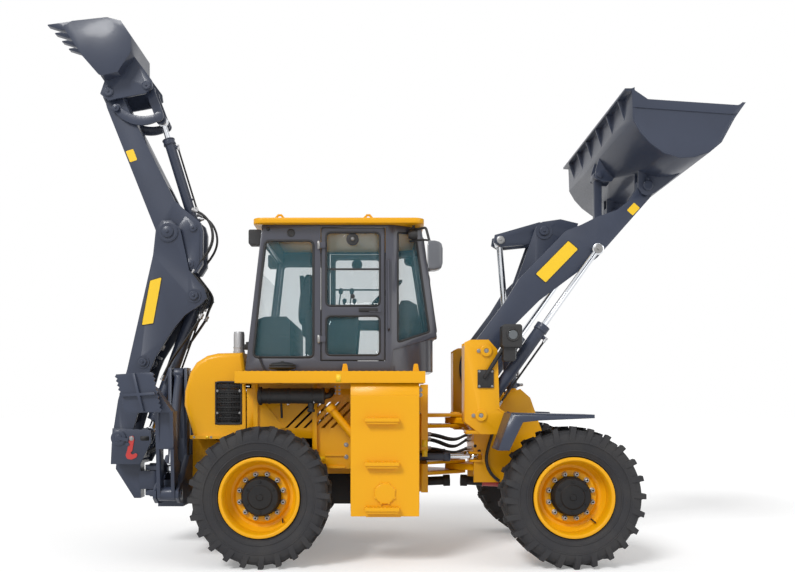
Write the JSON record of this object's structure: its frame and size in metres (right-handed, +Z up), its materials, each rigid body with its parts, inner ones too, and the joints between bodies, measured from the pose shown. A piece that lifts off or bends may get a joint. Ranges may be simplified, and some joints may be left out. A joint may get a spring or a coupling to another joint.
{
  "type": "backhoe loader",
  "caption": "Articulated backhoe loader with a yellow body, dark cab, front loader bucket raised high, backhoe folded upright behind and stabilizers folded up",
  "frame": {"origin": "On the floor under the middle of the bounding box, wheels standing on z = 0", "axes": "+X towards the loader bucket, +Y to the machine's left, +Z up"},
  "size_m": [6.063, 2.272, 4.9208],
  "materials": {
    "yellow_paint": "gloss",
    "slate_paint": "gloss",
    "cab_paint": "satin",
    "tyre_rubber": "matte",
    "chrome_rod": "polished",
    "tinted_glass": "gloss",
    "black_plastic": "matte",
    "dark_iron": "satin"
  },
  "bodies": {
    "rear_body": {"rear_frame": "yellow_paint", "backhoe_frame": "slate_paint", "engine_hood": "yellow_paint", "hood_grilles": "black_plastic", "side_platforms": "yellow_paint", "side_tanks": "yellow_paint", "air_cleaner_and_stacks": "black_plastic", "cab_frame": "cab_paint", "cab_roof": "cab_paint", "cab_glass": "tinted_glass", "roof_lifting_eyes": "yellow_paint", "operator_station": "black_plastic", "cab_fittings": "black_plastic", "engine_and_rear_driveline": "dark_iron"},
    "front_body": {"front_frame": "yellow_paint", "front_axle_and_driveline": "dark_iron", "front_fenders": "slate_paint", "headlamps": "black_plastic"},
    "right_door_body": {"right_door": "cab_paint", "right_door_glass": "tinted_glass"},
    "left_door_body": {"left_door": "cab_paint", "left_door_glass": "tinted_glass"},
    "loader_arms_body": {"loader_arms": "slate_paint"},
    "loader_bucket_body": {"loader_bucket": "slate_paint"},
    "bell_crank_body": {"bell_crank": "slate_paint"},
    "tilt_link_body": {"tilt_link": "slate_paint"},
    "lift_barrels_body": {"lift_cylinder_barrels": "slate_paint"},
    "lift_rods_body": {"lift_cylinder_rods": "chrome_rod"},
    "tilt_barrel_body": {"tilt_cylinder_barrel": "slate_paint"},
    "tilt_rod_body": {"tilt_cylinder_rod": "chrome_rod"},
    "swing_post_body": {"swing_post": "slate_paint"},
    "boom_body": {"boom": "slate_paint"},
    "boom_barrel_body": {"boom_cylinder_barrel": "slate_paint"},
    "boom_rod_body": {"boom_cylinder_rod": "chrome_rod"},
    "dipper_body": {"dipper": "slate_paint"},
    "dipper_barrel_body": {"dipper_cylinder_barrel": "slate_paint"},
    "dipper_rod_body": {"dipper_cylinder_rod": "chrome_rod"},
    "backhoe_bucket_body": {"backhoe_bucket": "slate_paint"},
    "guide_links_body": {"guide_links": "slate_paint"},
    "push_link_body": {"push_link": "slate_paint"},
    "bucket_barrel_body": {"bucket_cylinder_barrel": "slate_paint"},
    "bucket_rod_body": {"bucket_cylinder_rod": "chrome_rod"},
    "front_left_wheel_body": {"front_left_tyre": "tyre_rubber", "front_left_rim": "yellow_paint"},
    "front_right_wheel_body": {"front_right_tyre": "tyre_rubber", "front_right_rim": "yellow_paint"},
    "rear_left_wheel_body": {"rear_left_tyre": "tyre_rubber", "rear_left_rim": "yellow_paint"},
    "rear_right_wheel_body": {"rear_right_tyre": "tyre_rubber", "rear_right_rim": "yellow_paint"},
    "right_stabilizer_body": {"right_stabilizer_leg": "slate_paint"},
    "right_stabilizer_barrel_body": {"right_stabilizer_barrel": "slate_paint"},
    "right_stabilizer_rod_body": {"right_stabilizer_rod": "chrome_rod"},
    "right_steering_barrel_body": {"right_steering_barrel": "slate_paint"},
    "right_steering_rod_body": {"right_steering_rod": "chrome_rod"},
    "left_stabilizer_body": {"left_stabilizer_leg": "slate_paint"},
    "left_stabilizer_barrel_body": {"left_stabilizer_barrel": "slate_paint"},
    "left_stabilizer_rod_body": {"left_stabilizer_rod": "chrome_rod"},
    "left_steering_barrel_body": {"left_steering_barrel": "slate_paint"},
    "left_steering_rod_body": {"left_steering_rod": "chrome_rod"}
  },
  "joints": [
    {"name": "articulation", "type": "hinge", "parent": "rear_body", "child": "front_body", "pos_m": [0.753, 0, 0.95], "axis": [0, 0, 1], "range_deg": [-35, 35]},
    {"name": "front_left_wheel", "type": "hinge", "parent": "front_body", "child": "front_left_wheel_body", "pos_m": [1.639, 0.92, 0.588], "axis": [0, 1, 0], "continuous": true},
    {"name": "front_right_wheel", "type": "hinge", "parent": "front_body", "child": "front_right_wheel_body", "pos_m": [1.639, -0.92, 0.588], "axis": [0, 1, 0], "continuous": true},
    {"name": "rear_left_wheel", "type": "hinge", "parent": "rear_body", "child": "rear_left_wheel_body", "pos_m": [-0.962, 0.92, 0.588], "axis": [0, 1, 0], "continuous": true},
    {"name": "rear_right_wheel", "type": "hinge", "parent": "rear_body", "child": "rear_right_wheel_body", "pos_m": [-0.962, -0.92, 0.588], "axis": [0, 1, 0], "continuous": true},
    {"name": "right_door", "type": "hinge", "parent": "rear_body", "child": "right_door_body", "pos_m": [-0.5, -0.7, 2.3], "axis": [0, 0, -1], "range_deg": [0, 95]},
    {"name": "left_door", "type": "hinge", "parent": "rear_body", "child": "left_door_body", "pos_m": [-0.5, 0.7, 2.3], "axis": [0, 0, 1], "range_deg": [0, 95]},
    {"name": "loader_arms", "type": "hinge", "parent": "front_body", "child": "loader_arms_body", "pos_m": [0.962, 0, 1.826], "axis": [0, -1, 0], "range_deg": [-95, 4]},
    {"name": "loader_bucket", "type": "hinge", "parent": "loader_arms_body", "child": "loader_bucket_body", "pos_m": [2.41, 0, 3.3], "axis": [0, 1, 0], "range_deg": [-45, 84]},
    {"name": "bell_crank", "type": "hinge", "parent": "loader_arms_body", "child": "bell_crank_body", "pos_m": [1.577, 0, 2.988], "axis": [0, -1, 0], "range_deg": [-25, 45]},
    {"name": "tilt_link", "type": "hinge", "parent": "loader_bucket_body", "child": "tilt_link_body", "pos_m": [2.115, 0, 3.53], "axis": [0, -1, 0], "range_deg": [-25, 42]},
    {"name": "lift_barrels", "type": "hinge", "parent": "front_body", "child": "lift_barrels_body", "pos_m": [0.916, 0, 1.262], "axis": [0, -1, 0], "range_deg": [-84, 6]},
    {"name": "lift_rods", "type": "slide", "parent": "lift_barrels_body", "child": "lift_rods_body", "axis": [0.5788, 0, 0.8155], "range_m": [-0.765, 0.04]},
    {"name": "tilt_barrel", "type": "hinge", "parent": "front_body", "child": "tilt_barrel_body", "pos_m": [1.295, 0, 1.447], "axis": [0, -1, 0], "range_deg": [-86, 6]},
    {"name": "tilt_rod", "type": "slide", "parent": "tilt_barrel_body", "child": "tilt_rod_body", "axis": [-0.0817, 0, 0.9967], "range_m": [-0.585, 0.03]},
    {"name": "swing", "type": "hinge", "parent": "rear_body", "child": "swing_post_body", "pos_m": [-2.125, 0, 0.65], "axis": [0, 0, 1], "range_deg": [-87, 87]},
    {"name": "boom", "type": "hinge", "parent": "swing_post_body", "child": "boom_body", "pos_m": [-2.401, 0, 1.044], "axis": [0, -1, 0], "range_deg": [0, 110]},
    {"name": "boom_barrel", "type": "hinge", "parent": "boom_body", "child": "boom_barrel_body", "pos_m": [-1.708, 0, 2.376], "axis": [0, -1, 0], "range_deg": [-5, 2]},
    {"name": "boom_rod", "type": "slide", "parent": "boom_barrel_body", "child": "boom_rod_body", "axis": [-0.3349, 0, -0.9423], "range_m": [-0.005, 0.415]},
    {"name": "dipper", "type": "hinge", "parent": "boom_body", "child": "dipper_body", "pos_m": [-1.952, 0, 2.973], "axis": [0, 1, 0], "range_deg": [-110, 0]},
    {"name": "dipper_barrel", "type": "hinge", "parent": "boom_body", "child": "dipper_barrel_body", "pos_m": [-2.186, 0, 1.755], "axis": [0, 1, 0], "range_deg": [-6, 2]},
    {"name": "dipper_rod", "type": "slide", "parent": "dipper_barrel_body", "child": "dipper_rod_body", "axis": [0.4255, 0, 0.905], "range_m": [-0.005, 0.615]},
    {"name": "backhoe_bucket", "type": "hinge", "parent": "dipper_body", "child": "backhoe_bucket_body", "pos_m": [-2.5, 0, 4.277], "axis": [0, -1, 0], "range_deg": [-24, 136]},
    {"name": "guide_links", "type": "hinge", "parent": "dipper_body", "child": "guide_links_body", "pos_m": [-2.439, 0, 4.136], "axis": [0, -1, 0], "range_deg": [-24, 125]},
    {"name": "push_link", "type": "hinge", "parent": "guide_links_body", "child": "push_link_body", "pos_m": [-2.044, 0, 4.061], "axis": [0, -1, 0], "range_deg": [-50, 14]},
    {"name": "bucket_barrel", "type": "hinge", "parent": "dipper_body", "child": "bucket_barrel_body", "pos_m": [-1.724, 0, 3.017], "axis": [0, -1, 0], "range_deg": [-4, 12]},
    {"name": "bucket_rod", "type": "slide", "parent": "bucket_barrel_body", "child": "bucket_rod_body", "axis": [-0.2931, 0, 0.9561], "range_m": [-0.115, 0.652]},
    {"name": "right_stabilizer", "type": "hinge", "parent": "rear_body", "child": "right_stabilizer_body", "pos_m": [-1.79, -0.8, 0.59], "axis": [1, 0, 0], "range_deg": [0, 116]},
    {"name": "right_stabilizer_barrel", "type": "hinge", "parent": "rear_body", "child": "right_stabilizer_barrel_body", "pos_m": [-1.79, -0.39, 1.64], "axis": [-1, 0, 0], "range_deg": [-1, 19]},
    {"name": "right_stabilizer_rod", "type": "slide", "parent": "right_stabilizer_barrel_body", "child": "right_stabilizer_rod_body", "axis": [0, -0.3363, -0.9417], "range_m": [-0.005, 0.295]},
    {"name": "right_steering_barrel", "type": "hinge", "parent": "rear_body", "child": "right_steering_barrel_body", "pos_m": [0.2, -0.322, 0.875], "axis": [0, 0, 1], "range_deg": [-6, 6]},
    {"name": "right_steering_rod", "type": "slide", "parent": "right_steering_barrel_body", "child": "right_steering_rod_body", "axis": [0.9948, 0.1023, 0], "range_m": [-0.16, 0.16]},
    {"name": "left_stabilizer", "type": "hinge", "parent": "rear_body", "child": "left_stabilizer_body", "pos_m": [-1.79, 0.8, 0.59], "axis": [-1, 0, 0], "range_deg": [0, 116]},
    {"name": "left_stabilizer_barrel", "type": "hinge", "parent": "rear_body", "child": "left_stabilizer_barrel_body", "pos_m": [-1.79, 0.39, 1.64], "axis": [1, 0, 0], "range_deg": [-1, 19]},
    {"name": "left_stabilizer_rod", "type": "slide", "parent": "left_stabilizer_barrel_body", "child": "left_stabilizer_rod_body", "axis": [0, 0.3363, -0.9417], "range_m": [-0.005, 0.295]},
    {"name": "left_steering_barrel", "type": "hinge", "parent": "rear_body", "child": "left_steering_barrel_body", "pos_m": [0.2, 0.322, 0.875], "axis": [0, 0, 1], "range_deg": [-6, 6]},
    {"name": "left_steering_rod", "type": "slide", "parent": "left_steering_barrel_body", "child": "left_steering_rod_body", "axis": [0.9948, -0.1023, 0], "range_m": [-0.16, 0.16]}
  ],
  "couplings": [
    {"joint": "bell_crank", "follows": "loader_bucket", "ratio": 0.3},
    {"joint": "tilt_link", "follows": "loader_bucket", "ratio": 0.46},
    {"joint": "lift_barrels", "follows": "loader_arms", "ratio": 0.8361},
    {"joint": "lift_rods", "follows": "loader_arms", "m_per_rad": 0.4577},
    {"joint": "tilt_barrel", "follows": "loader_arms", "ratio": 0.8752},
    {"joint": "tilt_rod", "follows": "loader_arms", "m_per_rad": 0.349},
    {"joint": "boom_barrel", "follows": "boom", "ratio": -0.0239},
    {"joint": "boom_rod", "follows": "boom", "m_per_rad": 0.2116},
    {"joint": "dipper_barrel", "follows": "dipper", "ratio": 0.0386},
    {"joint": "dipper_rod", "follows": "dipper", "m_per_rad": -0.3153},
    {"joint": "guide_links", "follows": "backhoe_bucket", "ratio": 0.8603},
    {"joint": "push_link", "follows": "backhoe_bucket", "ratio": -0.3349},
    {"joint": "bucket_barrel", "follows": "backhoe_bucket", "ratio": 0.0489},
    {"joint": "bucket_rod", "follows": "backhoe_bucket", "m_per_rad": 0.2725},
    {"joint": "right_stabilizer_barrel", "follows": "right_stabilizer", "ratio": 0.1548},
    {"joint": "right_stabilizer_rod", "follows": "right_stabilizer", "m_per_rad": 0.1411},
    {"joint": "right_steering_barrel", "follows": "articulation", "ratio": 0.1551},
    {"joint": "right_steering_rod", "follows": "articulation", "m_per_rad": 0.2571},
    {"joint": "left_stabilizer_barrel", "follows": "left_stabilizer", "ratio": 0.1548},
    {"joint": "left_stabilizer_rod", "follows": "left_stabilizer", "m_per_rad": 0.1411},
    {"joint": "left_steering_barrel", "follows": "articulation", "ratio": 0.1551},
    {"joint": "left_steering_rod", "follows": "articulation", "m_per_rad": -0.2571}
  ]
}
